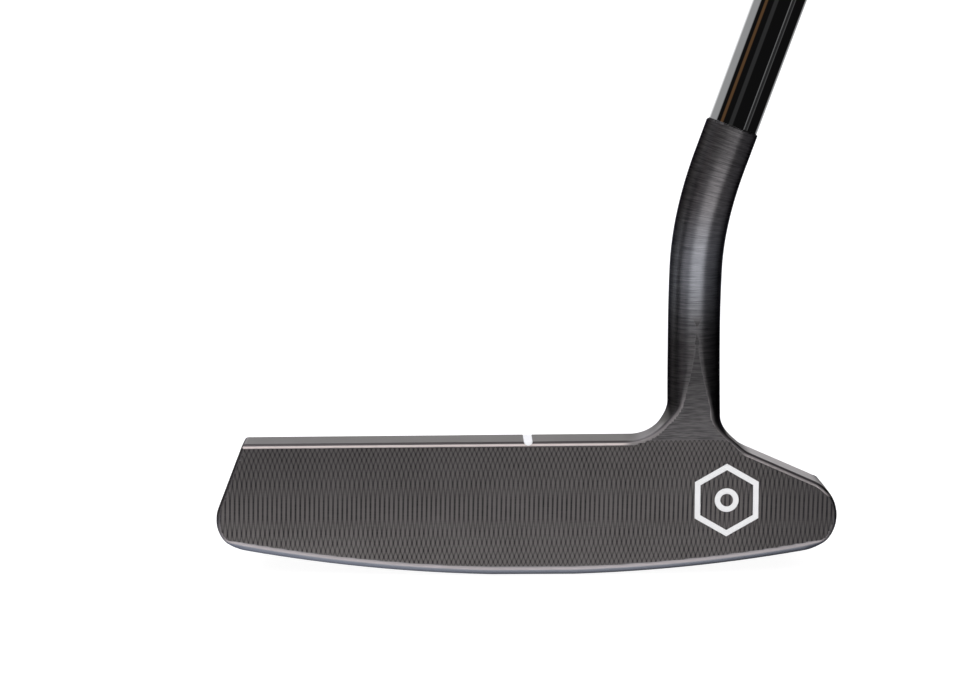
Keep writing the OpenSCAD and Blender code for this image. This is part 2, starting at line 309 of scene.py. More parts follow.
def head(p):
    """Distance from the putter head's surface, negative inside the metal."""
    x, y, z = p
    outline, up = front_outline(x, z)
    stem, reach = neck(x, y, z)
    foot = np.maximum(stem, BLADE_HEIGHT - 2 - z)
    fillet = mix(FRONT_FILLET, BACK_FILLET, smooth((y + LEADING_EDGE - 1) / 5))
    fillet = mix(fillet, HEEL_FILLET, smooth((x - NECK_X + 2) / 4))
    body = rounded_min(outline, foot, fillet)
    behind = rounded_min(blade_back(x, y, z), foot, 3)
    body = rounded_max(body, behind, BACK_EDGE)
    edge = mix(END_EDGE, SOLE_EDGE, smooth((-0.6 - up) / 0.38))
    edge = np.where(up > 0.9, TOP_EDGE, edge)
    above = z - BLADE_HEIGHT
    edge = mix(edge, SPEAR_EDGE, smooth((above - 1) / 6))
    edge = mix(edge, SPEAR_TIP_EDGE, smooth((above - SHARPEN_START) / SHARPEN_LENGTH))
    released = smooth((above - SPEAR_HEIGHT + RELEASE_BELOW_TIP) / RELEASE_LENGTH)
    released = RELEASE_DEPTH * released
    body = rounded_max(body, face_plane(y, z) - released, edge)
    along = rim_distance(x, z)
    post = rounded_max(reach - POST_RADIUS, np.maximum(along - POST_LENGTH, -along - 2), 0.3)
    return np.minimum(body, post)


# ---------------------------------------------------------------- meshing a distance field


def gradient(field, points, step=0.01):
    """The field's slope at points. Points and slopes are columns."""
    slope = np.empty_like(points)
    for k in range(3):
        shift = np.zeros((3, 1))
        shift[k] = step
        slope[k] = (field(points + shift) - field(points - shift)) / (2 * step)
    return slope


def sample(field, axes, block=8):
    """Field values on a grid. Blocks far from the surface keep their middle's value."""
    shape = [len(a) for a in axes]
    cell = max(a[1] - a[0] for a in axes)
    starts = np.meshgrid(*[np.arange(0, n, block) for n in shape], indexing="ij")
    starts = np.stack([s.ravel() for s in starts])
    middle = np.stack([a[np.minimum(s + block // 2, len(a) - 1)] for a, s in zip(axes, starts)])
    coarse = field(middle)
    near = np.abs(coarse) < cell * block * 1.35
    values = np.empty(shape, np.float32)
    for start, value in zip(starts[:, ~near].T, coarse[~near]):
        values[tuple(slice(s, s + block) for s in start)] = value
    offsets = np.indices((block,) * 3).reshape(3, -1)
    limits = np.array(shape)[:, None] - 1
    active = starts[:, near]
    for first in range(0, active.shape[1], 1000):
        index = active[:, first:first + 1000, None] + offsets[:, None, :]
        index = np.minimum(index.reshape(3, -1), limits)
        points = np.stack([a[i] for a, i in zip(axes, index)])
        values[tuple(index)] = field(points)
    return values


def surface_net(field, low, high, cell):
    """Quads of the field's zero surface, with vertices moved exactly onto it."""
    axes = [np.arange(a, b + cell, cell) for a, b in zip(low, high)]
    values = sample(field, axes)
    inside = values < 0
    shape = np.array(values.shape)
    total = np.zeros(tuple(shape - 1) + (3,), np.float32)
    count = np.zeros(tuple(shape - 1), np.int32)
    edges = []
    for axis in range(3):
        ahead = tuple(slice(1, None) if k == axis else slice(None) for k in range(3))
        here = tuple(slice(0, -1) if k == axis else slice(None) for k in range(3))
        crossing = np.argwhere(inside[here] != inside[ahead])
        interior = np.all((crossing > 0) | (np.arange(3) == axis), axis=1)
        interior &= np.all(crossing < shape - 1, axis=1)
        crossing = crossing[interior]
        a = values[tuple(crossing.T)]
        b = values[tuple((crossing + (np.arange(3) == axis)).T)]
        point = crossing.astype(np.float32)
        point[:, axis] += a / (a - b)
        others = [k for k in range(3) if k != axis]
        for u in (0, 1):
            for v in (0, 1):
                shifted = crossing.copy()
                shifted[:, others[0]] -= u
                shifted[:, others[1]] -= v
                np.add.at(total, tuple(shifted.T), point)
                np.add.at(count, tuple(shifted.T), 1)
        edges.append((axis, crossing, a < 0))
    used = count > 0
    number = np.full(count.shape, -1)
    number[used] = np.arange(used.sum())
    points = (total[used] / count[used][:, None]) * cell + np.array([a[0] for a in axes])
    quads = []
    for axis, crossing, solid in edges:
        u, v = (axis + 1) % 3, (axis + 2) % 3
        ring = []
        for du, dv in ((0, 0), (1, 0), (1, 1), (0, 1)):
            shifted = crossing.copy()
            shifted[:, u] -= du
            shifted[:, v] -= dv
            ring.append(number[tuple(shifted.T)])
        ring = np.stack(ring, axis=1)
        ring[~solid] = ring[~solid][:, ::-1]
        quads.append(ring)
    points = points.T.astype(np.float64)
    for _ in range(3):
        slope = gradient(field, points)
        move = field(points) * slope / np.maximum((slope ** 2).sum(axis=0), 0.25)
        points = points - np.clip(move, -cell, cell)
    return points, np.concatenate(quads)


def mesh_from(name, points, faces):
    """A Blender object from millimetre columns, smooth shaded."""
    mesh = bpy.data.meshes.new(name)
    mesh.from_pydata((points.T * MM).tolist(), [], [list(map(int, f)) for f in faces])
    mesh.update()
    mesh.shade_smooth()
    piece = bpy.data.objects.new(name, mesh)
    bpy.context.scene.collection.objects.link(piece)
    return piece


def delete(piece):
    mesh = piece.data
    bpy.data.objects.remove(piece)
    bpy.data.meshes.remove(mesh)


def cut(piece, cutter):
    """Takes the cutter's shape out of the piece and removes the cutter."""
    modifier = piece.modifiers.new("cut", "BOOLEAN")
    modifier.operation = "DIFFERENCE"
    modifier.solver = "EXACT"
    modifier.object = cutter
    evaluated = piece.evaluated_get(bpy.context.evaluated_depsgraph_get())
    result = bpy.data.meshes.new_from_object(evaluated)
    piece.modifiers.clear()
    old = piece.data
    piece.data = result
    bpy.data.meshes.remove(old)
    delete(cutter)


def field_normals(piece, field):
    """Gives each corner the field's normal, except on walls that a cutter made."""
    mesh = piece.data
    mesh.shade_smooth()
    points = np.empty(len(mesh.vertices) * 3)
    mesh.vertices.foreach_get("co", points)
    points = points.reshape(-1, 3).T / MM
    slope = gradient(field, points)
    slope = (slope / np.maximum(np.linalg.norm(slope, axis=0), 1e-9)).T
    corner_vertex = np.empty(len(mesh.loops), np.int32)
    mesh.loops.foreach_get("vertex_index", corner_vertex)
    corner_face = np.empty(len(mesh.loops), np.int32)
    for polygon in mesh.polygons:
        start = polygon.loop_start
        corner_face[start:start + polygon.loop_total] = polygon.index
    flat = np.empty(len(mesh.polygons) * 3)
    mesh.polygons.foreach_get("normal", flat)
    flat = flat.reshape(-1, 3)[corner_face]
    normals = slope[corner_vertex]
    wall = (normals * flat).sum(axis=1) < 0.6
    normals[wall] = flat[wall]
    mesh.normals_split_custom_set(normals.tolist())


# ---------------------------------------------------------------- marks on the head


def extruded(name, loops, place, depth):
    """Prisms from pairs of an outer and an inner loop, placed by a function of (u, v, w)."""
    points = []
    faces = []
    for outer, inner in loops:
        n = len(outer)
        first = len(points)
        for w in (0, depth):
            for loop in (outer, inner):
                points.extend(place(u, v, w) for u, v in loop)
        for i in range(n):
            j = (i + 1) % n
            back_outer, back_inner = first, first + n
            top_outer, top_inner = first + 2 * n, first + 3 * n
            faces.append([top_outer + i, top_outer + j, top_inner + j, top_inner + i])
            faces.append([back_outer + j, back_outer + i, back_inner + i, back_inner + j])
            faces.append([back_outer + i, back_outer + j, top_outer + j, top_outer + i])
            faces.append([back_inner + j, back_inner + i, top_inner + i, top_inner + j])
    piece = mesh_from(name, np.array(points).T, faces)
    piece.data.shade_flat()
    return piece


def circle(radius, sides, start=0):
    turn = [start + 2 * math.pi * k / sides for k in range(sides)]
    return [(radius * math.cos(a), radius * math.sin(a)) for a in turn]


def mark_loops(shrink=0):
    """A hexagon line round a ring, as pairs of outer and inner loops."""
    across = 1 / math.cos(math.pi / 6)
    half = MARK_WIDTH / 2
    hexagon = (circle((half - shrink) * across, 6, math.pi / 6),
               circle((half - MARK_LINE + shrink) * across, 6, math.pi / 6))
    ring = MARK_RING / 2
    return [hexagon, (circle(ring - shrink, 64), circle(ring - MARK_LINE + shrink, 64))]


def on_face(depth):
    """Places (u, v, w) on the face round the mark's middle: w counts outwards from depth."""
    def place(u, v, w):
        out = w - depth
        y = MARK_Z * math.tan(LOFT) - LEADING_EDGE
        return (MARK_X + u,
                y + v * math.sin(LOFT) - out * math.cos(LOFT),
                MARK_Z + v * math.cos(LOFT) + out * math.sin(LOFT))
    return place


def sight_groove(p):
    x, _, z = p
    return np.hypot(x - SIGHT_X, z - BLADE_HEIGHT) - SIGHT_RADIUS


def sight_fill(p):
    """The white paint in the sight groove, just below the metal round it."""
    return rounded_max(sight_groove(p), head(p) + PAINT_RECESS, 0.05)


def groove_cutter():
    sides = circle(SIGHT_RADIUS, 48)
    front = [(SIGHT_X + u, -LEADING_EDGE - 1, BLADE_HEIGHT + v) for u, v in sides]
    back = [(SIGHT_X + u, TOPLINE_BACK + 1, BLADE_HEIGHT + v) for u, v in sides]
    n = len(sides)
    faces = [[(i + 1) % n, i, n + i, n + (i + 1) % n] for i in range(n)]
    faces.append(list(range(n)))
    faces.append([n + i for i in range(n)][::-1])
    return mesh_from("groove_cutter", np.array(front + back).T, faces)


def make_head():
    cell = 0.45
    low = (-TOE_REACH - 1.5, -14.5, -1.5)
    high = (HEEL_REACH + 1.5, BACK_EDGE_Y + 1.5, RIM_HEIGHT + POST_LENGTH)
    points, faces = surface_net(head, low, high, cell)
    piece = mesh_from("head", points, faces)
    cut(piece, groove_cutter())
    cut(piece, extruded("mark_cutter", mark_loops(), on_face(MARK_DEPTH), MARK_DEPTH + 1))
    field_normals(piece, head)
    return piece


def make_sight_paint():
    low = (SIGHT_X - SIGHT_RADIUS - 0.3, -LEADING_EDGE, BLADE_HEIGHT - SIGHT_RADIUS - 0.3)
    high = (SIGHT_X + SIGHT_RADIUS + 0.3, TOPLINE_BACK + 0.5, BLADE_HEIGHT + 0.3)
    points, faces = surface_net(sight_fill, low, high, 0.12)
    piece = mesh_from("sight_line", points, faces)
    field_normals(piece, sight_fill)
    return piece


def make_mark_paint():
    gap = 0.01
    return extruded("face_mark", mark_loops(gap), on_face(MARK_DEPTH), MARK_DEPTH - PAINT_RECESS)


# ---------------------------------------------------------------- shaft and grip

RIM_CENTRE = np.array([RIM_X, -NECK_FLOW, RIM_HEIGHT])
BUTT_END = CLUB_LENGTH - RIM_HEIGHT / math.cos(LEAN)
GRIP_START = BUTT_END - GRIP_LENGTH


def on_shaft(points):
    """Turns points that stand along +Z onto the shaft's axis, with z = 0 at the neck's rim."""
    x, y, z = points
    c, s = math.cos(LEAN), math.sin(LEAN)
    turned = np.stack([x * c + z * s, y, z * c - x * s])
    return turned + RIM_CENTRE[:, None]


def ring_faces(rings, sides, closed=False):
    """Quads between neighbouring rings of points."""
    faces = []
    last = rings if closed else rings - 1
    for r in range(last):
        here, there = r * sides, (r + 1) % rings * sides
        for k in range(sides):
            j = (k + 1) % sides
            faces.append([here + k, here + j, there + j, there + k])
    return faces


def revolved(name, profile, sides=96):
    """A closed (radius, height) profile turned round the shaft's axis."""
    turn = np.arange(sides) * 2 * math.pi / sides
    points = [np.stack([r * np.cos(turn), r * np.sin(turn), np.full(sides, h)])
              for r, h in profile]
    points = on_shaft(np.concatenate(points, axis=1))
    return mesh_from(name, points, ring_faces(len(profile), sides, closed=True))


def soften(piece, angle=30):
    """Smooth shading with creases sharper than the angle."""
    piece.data.set_sharp_from_angle(angle=math.radians(angle))


def shaft_radius(step):
    return mix(TIP_RADIUS, BUTT_RADIUS, step / SHAFT_STEPS)


def make_shaft():
    """The stepped tube: outside from tip to butt, then back down the bore."""
    end = BUTT_END - CAP_THICKNESS
    outside = [(TIP_RADIUS - TUBE_EDGE, 0), (TIP_RADIUS, TUBE_EDGE)]
    for k in range(SHAFT_STEPS):
        start = TIP_LENGTH + k * STEP_PITCH
        outside.append((shaft_radius(k), start))
        outside.append((shaft_radius(k + 1), start + STEP_CONE))
    outside.append((BUTT_RADIUS, end))
    inside = [(BUTT_RADIUS - SHAFT_WALL, end), (TIP_RADIUS - SHAFT_WALL, TIP_LENGTH),
              (TIP_RADIUS - SHAFT_WALL, 0)]
    piece = revolved("shaft_tube", outside + inside, 160)
    soften(piece, 20)
    return piece


def grip_outline(share, sides):
    """The grip's section: flat towards the toe side, swelling under the butt."""
    turn = np.arange(sides) * 2 * math.pi / sides
    growth = smooth(share * 1.1)
    half = mix(MOUTH_RADIUS, GRIP_BUTT_RADIUS, growth)
    flat = mix(MOUTH_RADIUS, GRIP_FLAT, growth)
    swell = PISTOL_SWELL * smooth((share - 0.35) / 0.6)
    c, s = np.cos(turn), np.sin(turn)
    under = c * (half + swell)
    over = c * (half - (half - flat) * np.maximum(-c, 0) ** 3)
    return np.where(c > 0, under, over), s * half


def make_grip():
    """The rubber skin, with a rolled mouth and fine grooves across the thumbs' flat."""
    sides = 144
    length = GRIP_LENGTH - CAP_THICKNESS
    rings = 420
    points = []
    shares = [k / (rings - 1) for k in range(rings)]
    for share in shares:
        x, y = grip_outline(share, sides)
        height = share * length
        mouth = math.sqrt(max(0, 1 - (1 - min(height / LIP_RADIUS, 1)) ** 2))
        bead = BEAD_DEPTH * math.exp(-((height - BEAD_HEIGHT) / BEAD_WIDTH) ** 2)
        inset = (1 - mouth) * LIP_DEPTH + bead
        reach = np.hypot(x, y)
        on_flat = np.clip(-x / reach, 0, 1)
        panel = smooth((share - 0.08) / 0.02) * smooth((0.93 - share) / 0.02)
        rib = 0.5 - 0.5 * math.cos(2 * math.pi * height / RIB_PITCH)
        groove = RIB_DEPTH * rib ** 6 * panel * smooth((on_flat - 0.72) / 0.06)
        seam = SEAM_DEPTH * smooth((0.06 - np.abs(np.abs(y) / reach - 0.86)) / 0.04) * panel
        scale = 1 - (inset + groove + seam) / reach
        points.append(np.stack([x * scale, y * scale, np.full(sides, GRIP_START + height)]))
    bore = BUTT_RADIUS + 0.3
    for share in (1, 0):
        x, y = grip_outline(share, sides)
        reach = np.hypot(x, y)
        points.append(np.stack([x / reach * bore, y / reach * bore,
                                np.full(sides, GRIP_START + share * length)]))
    points = on_shaft(np.concatenate(points, axis=1))
    piece = mesh_from("grip_rubber", points, ring_faces(rings + 2, sides, closed=True))
    soften(piece, 40)
    return piece


def make_cap():
    """The end cap: a rounded plug with a vent hole in its middle."""
    sides = 144
    foot = BUTT_END - CAP_THICKNESS
    profile = [(1, 0), (1, CAP_SKIRT)]
    corners = 10
    for k in range(1, corners + 1):
        turn = math.pi / 2 * k / corners
        size = 1 - CAP_NARROWING * (1 - math.cos(turn))
        profile.append((size, CAP_SKIRT + CAP_ROUND * math.sin(turn)))
    profile += [(0.7, 3.72), (0.66, 3.5), (0.4, 3.55), (0.2, 3.6)]
    x, y = grip_outline(1, sides)
    reach = np.hypot(x, y)
    points = [np.stack([x * size, y * size, np.full(sides, foot + height)])
              for size, height in profile]
    for height in (3.5, 0):
        points.append(np.stack([x / reach * VENT_RADIUS, y / reach * VENT_RADIUS,
                                np.full(sides, foot + height)]))
    points = on_shaft(np.concatenate(points, axis=1))
    piece = mesh_from("grip_cap", points, ring_faces(len(points[0]) // sides, sides, closed=True))
    soften(piece, 35)
    return piece


# ---------------------------------------------------------------- values in a node tree


class Value:
    """A number that varies over a surface, with the usual arithmetic, as shader nodes."""

    def __init__(self, tree, socket):
        self.tree = tree
        self.socket = socket

    def math(self, operation, *others):
        node = self.tree.nodes.new("ShaderNodeMath")
        node.operation = operation
        for socket, value in zip(node.inputs, (self, *others)):
            plug(self.tree, socket, value)
        return Value(self.tree, node.outputs[0])

    def __add__(self, other):
        return self.math("ADD", other)

    def __sub__(self, other):
        return self.math("SUBTRACT", other)

    def __mul__(self, other):
        return self.math("MULTIPLY", other)

    def __radd__(self, other):
        return self + other

    def __rmul__(self, other):
        return self * other

    def __rsub__(self, other):
        return self * -1 + other

    def cos(self):
        return self.math("COSINE")

    def sqrt(self):
        return self.math("SQRT")

    def abs(self):
        return self.math("ABSOLUTE")

    def step(self, low, high):
        """0 below low, 1 above high, and a smooth ramp between."""
        node = self.tree.nodes.new("ShaderNodeMapRange")
        node.interpolation_type = "SMOOTHSTEP"
        for name, value in (("Value", self), ("From Min", low), ("From Max", high)):
            plug(self.tree, node.inputs[name], value)
        return Value(self.tree, node.outputs[0])


def plug(tree, socket, value):
    if isinstance(value, Value):
        tree.links.new(value.socket, socket)
    else:
        socket.default_value = value


def blend(tree, share, a, b):
    """A colour between a and b."""
    node = tree.nodes.new("ShaderNodeMix")
    node.data_type = "RGBA"
    node.clamp_factor = True
    plug(tree, node.inputs["Factor"], share)
    for socket, value in ((node.inputs[6], a), (node.inputs[7], b)):
        if isinstance(value, Value):
            tree.links.new(value.socket, socket)
        else:
            socket.default_value = (*value, 1)
    return Value(tree, node.outputs[2])


def coordinates(tree):
    """Position on the object, in millimetres."""
    place = tree.nodes.new("ShaderNodeTexCoord")
    split = tree.nodes.new("ShaderNodeSeparateXYZ")
    tree.links.new(place.outputs["Object"], split.inputs[0])
    return [Value(tree, s) * (1 / MM) for s in split.outputs]


def vector(tree, x, y, z):
    node = tree.nodes.new("ShaderNodeCombineXYZ")
    for socket, value in zip(node.inputs, (x, y, z)):
        plug(tree, socket, value)
    return Value(tree, node.outputs[0])


def noise(tree, place, scale, detail=2, roughness=0.5):
    """Noise between 0 and 1, with features about 1 / scale long."""
    node = tree.nodes.new("ShaderNodeTexNoise")
    tree.links.new(place.socket, node.inputs["Vector"])
    node.inputs["Scale"].default_value = scale
    node.inputs["Detail"].default_value = detail
    node.inputs["Roughness"].default_value = roughness
    return Value(tree, node.outputs["Fac"])


def bump(tree, height, distance, strength=1.0):
    """A normal from a height between 0 and 1, scaled to a distance in millimetres."""
    node = tree.nodes.new("ShaderNodeBump")
    node.inputs["Strength"].default_value = strength
    node.inputs["Distance"].default_value = distance * MM
    plug(tree, node.inputs["Height"], height)
    return Value(tree, node.outputs[0])


def new_material(name):
    """A material with its tree and its Principled shader."""
    material = bpy.data.materials.new(name)
    material.use_nodes = True
    tree = material.node_tree
    return material, tree, tree.nodes["Principled BSDF"]


def finish_shader(tree, shader, colour, roughness, normal):
    tree.links.new(colour.socket, shader.inputs["Base Color"])
    tree.links.new(roughness.socket, shader.inputs["Roughness"])
    tree.links.new(normal.socket, shader.inputs["Normal"])


# ---------------------------------------------------------------- materials

# Colours of the head's steel, some of them painted shade and highlights. A pair is the range that
# noise or height runs through.
BACK_STEEL = ((0.085, 0.080, 0.080), (0.12, 0.112, 0.11))
FACE_STEEL = (0.138, 0.128, 0.119)
FACE_GROOVE = (0.014, 0.013, 0.014)
# The next colour is painted shade on the face
FACE_SHADE = (0.015, 0.014, 0.015)
RUBBED_STEEL = (0.22, 0.205, 0.20)
SPEAR_STEEL = ((0.045, 0.043, 0.043), (0.105, 0.1, 0.098))
NECK_STEEL = ((0.046, 0.044, 0.044), (0.118, 0.112, 0.110))
# The bend's pair is a painted highlight; the dark colour after it is painted shade for the neck
# and its flat
BEND_HIGHLIGHT = ((0.08, 0.082, 0.086), (0.165, 0.168, 0.174))
NECK_SHADE = (0.02, 0.02, 0.02)
SOLE_STEEL = (0.075, 0.08, 0.09)
WORN_STEEL = ((0.16, 0.148, 0.145), (0.22, 0.205, 0.2))
TOP_STEEL = ((0.285, 0.275, 0.262), (0.225, 0.217, 0.207))
# The fillet's colours are painted shade and a painted highlight; the slope's colour is a painted
# highlight
FILLET_STEEL = (0.2, 0.193, 0.184)
FILLET_HIGHLIGHT = (0.5, 0.485, 0.465)
SLOPE_HIGHLIGHT = (0.88, 0.85, 0.82)
POLISHED_STEEL = (0.5, 0.48, 0.47)
EDGE_SHADOW = (0.09, 0.082, 0.082)
# The rim's pair is partly wear and partly painted highlight
RIM_STEEL = ((0.62, 0.545, 0.52), (0.36, 0.33, 0.32))

# The fly cutter's arcs on the face, in millimetres
CUTTER_RADIUS = 25.4
CUTTER_FEED = 0.8875
CUTTER_HEIGHT = 13.35
CUTTER_LEAN = math.radians(1.2)


def milled_lines(x, z):
    """Dark grooves of the two families of arcs that a fly cutter leaves, 0 to 1."""
    height = z - CUTTER_HEIGHT
    sag = CUTTER_RADIUS - (CUTTER_RADIUS ** 2 - height * height).sqrt()
    along = x - height * math.tan(CUTTER_LEAN)
    turn = 2 * math.pi / CUTTER_FEED
    front = ((along - sag) * turn).cos().step(-0.2, 1)
    rear = ((along + sag) * turn).cos().step(-0.2, 1)
    return (front + rear) * 0.5


def facing(tree):
    """The y part of the surface's normal: -1 where it faces the ball."""
    place = tree.nodes.new("ShaderNodeTexCoord")
    split = tree.nodes.new("ShaderNodeSeparateXYZ")
    tree.links.new(place.outputs["Normal"], split.inputs[0])
    return Value(tree, split.outputs[1])


def neck_angle(x, z):
    """How far the neck has bent towards the heel."""
    angle = (z - BEND_START).math("ARCTAN2", BEND_RADIUS + NECK_X - x)
    return angle.math("MINIMUM", LEAN).math("MAXIMUM", 0)


def heel_distance(x, z):
    """Height above the heel's slope and the round end that follows it."""
    run = x - HEEL_CENTRE[0]
    rise = z - HEEL_CENTRE[1]
    slope = run * HEEL_NORMAL[0] + rise * HEEL_NORMAL[1] - HEEL_RADIUS
    bullnose = (run * run + rise * rise).sqrt() - HEEL_RADIUS
    past_slope = run * HEEL_NORMAL[1] - rise * HEEL_NORMAL[0]
    return mix(slope, bullnose, past_slope.step(-0.2, 0.2))


def head_zones(tree, x, y, z):
    """Shares, 0 to 1, of the zones that differ in finish or carry painted shade and highlights.
    Their soft edges are in millimetres.
    """
    depth = (z * math.tan(LOFT) - y - LEADING_EDGE) * math.cos(LOFT)
    beside = x - NECK_X
    above = z - BLADE_HEIGHT
    on_plane = depth.step(-0.025, -0.008)
    off_plane = 1 - on_plane

    # The narrow faces on top: the top line, up into its fillet, and the heel's slope
    level = above - beside * (TOPLINE_FALL / (NECK_X + TOE_REACH))
    slope = heel_distance(x, z)
    toeward = beside.step(-4.6, -5.3) * above.step(7.5, 2.5)
    heelward = beside.step(5.2, 6.2) * above.step(12, 8) * (z - HEEL_CENTRE[1]).step(2.8, 5)
    top = level.step(-0.06, -0.02) * toeward + slope.step(-0.06, -0.02) * heelward
    top = top * depth.step(-TOPLINE_WIDTH - 0.1, 0.2 - TOPLINE_WIDTH)
    top = top * (1 - facing(tree).step(-0.15, -0.65))
    fillet = beside.step(-14, -11) * beside.step(-6.6, -8.6)
    # Where the fillet's painted highlight goes
    fillet_front = beside.step(-7.8, -5.8) * depth.step(-5, -2.5)

    # The rounded edge under them: a dark line of painted shade, then a bright line that is partly
    # wear and partly painted highlight
    straight = beside.step(-12, -14) + beside.step(8.5, 10)
    below_top = level * toeward + slope * heelward - (1 - toeward - heelward)
    shadow = below_top.step(-0.4, -0.3) * below_top.step(-0.02, -0.06) * straight
    rim = below_top.step(-0.85, -0.7) * below_top.step(-0.34, -0.44) * straight
    rim = rim * depth.step(-0.5, -0.2)

    # The face, the flat on the neck above it, and the edges round them
    milled = on_plane * above.step(0.25, -0.05) * (1 - rim)
    spear = on_plane * above.step(-0.05, 0.25) * above.step(SPEAR_HEIGHT, SPEAR_HEIGHT - 2)
    worn = depth.step(-0.3, -0.1) * off_plane * above.step(12, 2)
    worn = worn * mix(beside.abs().step(24, 18), 1, z.step(12, 9))
    sole_edge = depth.step(-2, -0.9) * off_plane * z.step(13, 9.5)
    neck_zone = above.step(1, 7) * (1 - spear) * (1 - top)
    return {"off_plane": off_plane, "heelward": heelward, "top": top, "fillet": fillet,
            "fillet_front": fillet_front, "shadow": shadow, "rim": rim, "milled": milled,
            "spear": spear, "worn": worn, "sole_edge": sole_edge, "neck": neck_zone}


def face_colour(tree, x, z, grooves, rubbed):
    """Brown-grey steel with dark cutter lines and painted shade, darkest above the toe and at the
    heel's end.
    """
    colour = blend(tree, grooves * 1.15 - 0.05, FACE_STEEL, FACE_GROOVE)
    colour = blend(tree, rubbed * 0.22, colour, RUBBED_STEEL)
    left = x.step(45, -60)
    # Painted shade: the face darkens towards its top, most of all at the toe, and towards the
    # heel's end
    shaded = 0.38 - left * 0.15 + z.step(-2, 28) * (left * 0.36 + 0.05) + x.step(34, 56) * 0.2
    return blend(tree, shaded, colour, FACE_SHADE)


def neck_colour(tree, z, rings):
    """Brushed rings: dark steel with painted shade low on the neck, and a lighter, bluer painted
    highlight about the start of the neck's bend.
    """
    streaks = rings * 3 - 1
    dark = blend(tree, streaks, *NECK_STEEL)
    # Painted shade on the neck below its bend
    dark = blend(tree, z.step(58, 44) * 0.3, dark, NECK_SHADE)
    light = blend(tree, streaks, *BEND_HIGHLIGHT)
    # Painted highlight about the start of the bend
    return blend(tree, z.step(43, 57) * z.step(73, 58), dark, light)


def top_colour(tree, x, zone, along):
    """Bare narrow faces: darker towards the toe, painted shade in the fillet, a painted highlight
    on its steep front, and the brightest painted highlight on the slope.
    """
    colour = blend(tree, x.step(5, -55), *TOP_STEEL)
    # Painted shade in the fillet
    colour = blend(tree, zone["fillet"], colour, FILLET_STEEL)
    # Painted highlight on the fillet's steep front
    colour = blend(tree, zone["fillet_front"], colour, FILLET_HIGHLIGHT)
    # Painted highlight on the heel's slope
    colour = blend(tree, zone["heelward"], colour, SLOPE_HIGHLIGHT)
    return blend(tree, along * 0.2, colour, POLISHED_STEEL)


def head_material():
    """Oxidised steel: fly-cut face, brushed flats, neck brushed round its axis, worn edges, with
    painted shade and highlights.
    """
    material, tree, shader = new_material("dark_milled_steel")
    x, y, z = coordinates(tree)
    place = vector(tree, x, y, z)
    zone = head_zones(tree, x, y, z)
    angle = neck_angle(x, z)
    length = (x - NECK_X) * angle.math("SINE") + (z - BEND_START) * angle.cos()

    grooves = milled_lines(x, z)
    patches = noise(tree, place, 0.12, 3)
    blotches = noise(tree, place, 0.9, 3)
    across = noise(tree, vector(tree, x * 0.35, y, z * 4.5), 1, 3)
    rings = noise(tree, vector(tree, x * 0.25, y * 0.25, length * 4.5), 1, 4, 0.65)
    along = noise(tree, vector(tree, x * 0.06, y * 5, z * 5), 1, 3, 0.6)
    rubbed = (patches + blotches * 0.6 + across * 0.8) * 1.3 - 1.1

    flat = blend(tree, across * 3 - 1, *SPEAR_STEEL)
    # Painted shade: the flat darkens towards its tip
    flat = blend(tree, z.step(BLADE_HEIGHT, BLADE_HEIGHT + 14) * 0.5, flat, NECK_SHADE)
    colour = blend(tree, patches, *BACK_STEEL)
    colour = blend(tree, zone["milled"], colour, face_colour(tree, x, z, grooves, rubbed))
    colour = blend(tree, zone["spear"], colour, flat)
    colour = blend(tree, zone["neck"], colour, neck_colour(tree, z, rings))
    colour = blend(tree, zone["sole_edge"], colour, SOLE_STEEL)
    colour = blend(tree, zone["worn"], colour, blend(tree, z.step(12, 22), *WORN_STEEL))
    colour = blend(tree, zone["top"], colour, top_colour(tree, x, zone, along))
    colour = blend(tree, zone["shadow"], colour, EDGE_SHADOW)
    # The rim line: partly wear, partly painted highlight
    colour = blend(tree, zone["rim"], colour, blend(tree, zone["heelward"], *RIM_STEEL))

    roughness = mix(rings * 0.14 + 0.36, 0.5, zone["milled"])
    relief = (grooves * zone["milled"] * -0.6 + across * zone["spear"] * 0.2
              + rings * zone["neck"] * 0.5 + along * zone["off_plane"] * 0.2)
    # Light spreads along the tangent: up the neck and the face, but back over the narrow faces
    back = zone["top"] + zone["shadow"]
    tangent = vector(tree, angle.math("SINE"), back + 0.1, angle.cos() * (1 - back))
    shader.inputs["Metallic"].default_value = 1
    shader.inputs["Specular Tint"].default_value = (0.25, 0.25, 0.27, 1)
    shader.inputs["Anisotropic"].default_value = 0.85
    tree.links.new(tangent.socket, shader.inputs["Tangent"])
    finish_shader(tree, shader, colour, roughness, bump(tree, relief, 0.02))
    return material


def paint_material():
    material, tree, shader = new_material("white_enamel")
    x, y, z = coordinates(tree)
    place = vector(tree, x, y, z)
    cloud = noise(tree, place, 0.8, 3)
    grain = noise(tree, place, 9, 2)
    colour = blend(tree, cloud, (0.92, 0.92, 0.92), (0.96, 0.96, 0.95))
    shader.inputs["Coat Weight"].default_value = 0.2
    finish_shader(tree, shader, colour, grain * 0.12 + 0.32, bump(tree, grain + cloud, 0.01))
    return material


def chrome_material():
    material, tree, shader = new_material("polished_chrome")
    x, y, z = coordinates(tree)
    place = vector(tree, x, y, z)
    haze = noise(tree, place, 0.15, 3)
    lines = noise(tree, vector(tree, x * 0.3, y * 0.3, z * 9), 1, 3)
    colour = blend(tree, haze, (0.86, 0.87, 0.89), (0.91, 0.92, 0.93))
    shader.inputs["Metallic"].default_value = 1
    finish_shader(tree, shader, colour, haze * 0.03 + lines * 0.02 + 0.02, bump(tree, haze, 0.002))
    return material


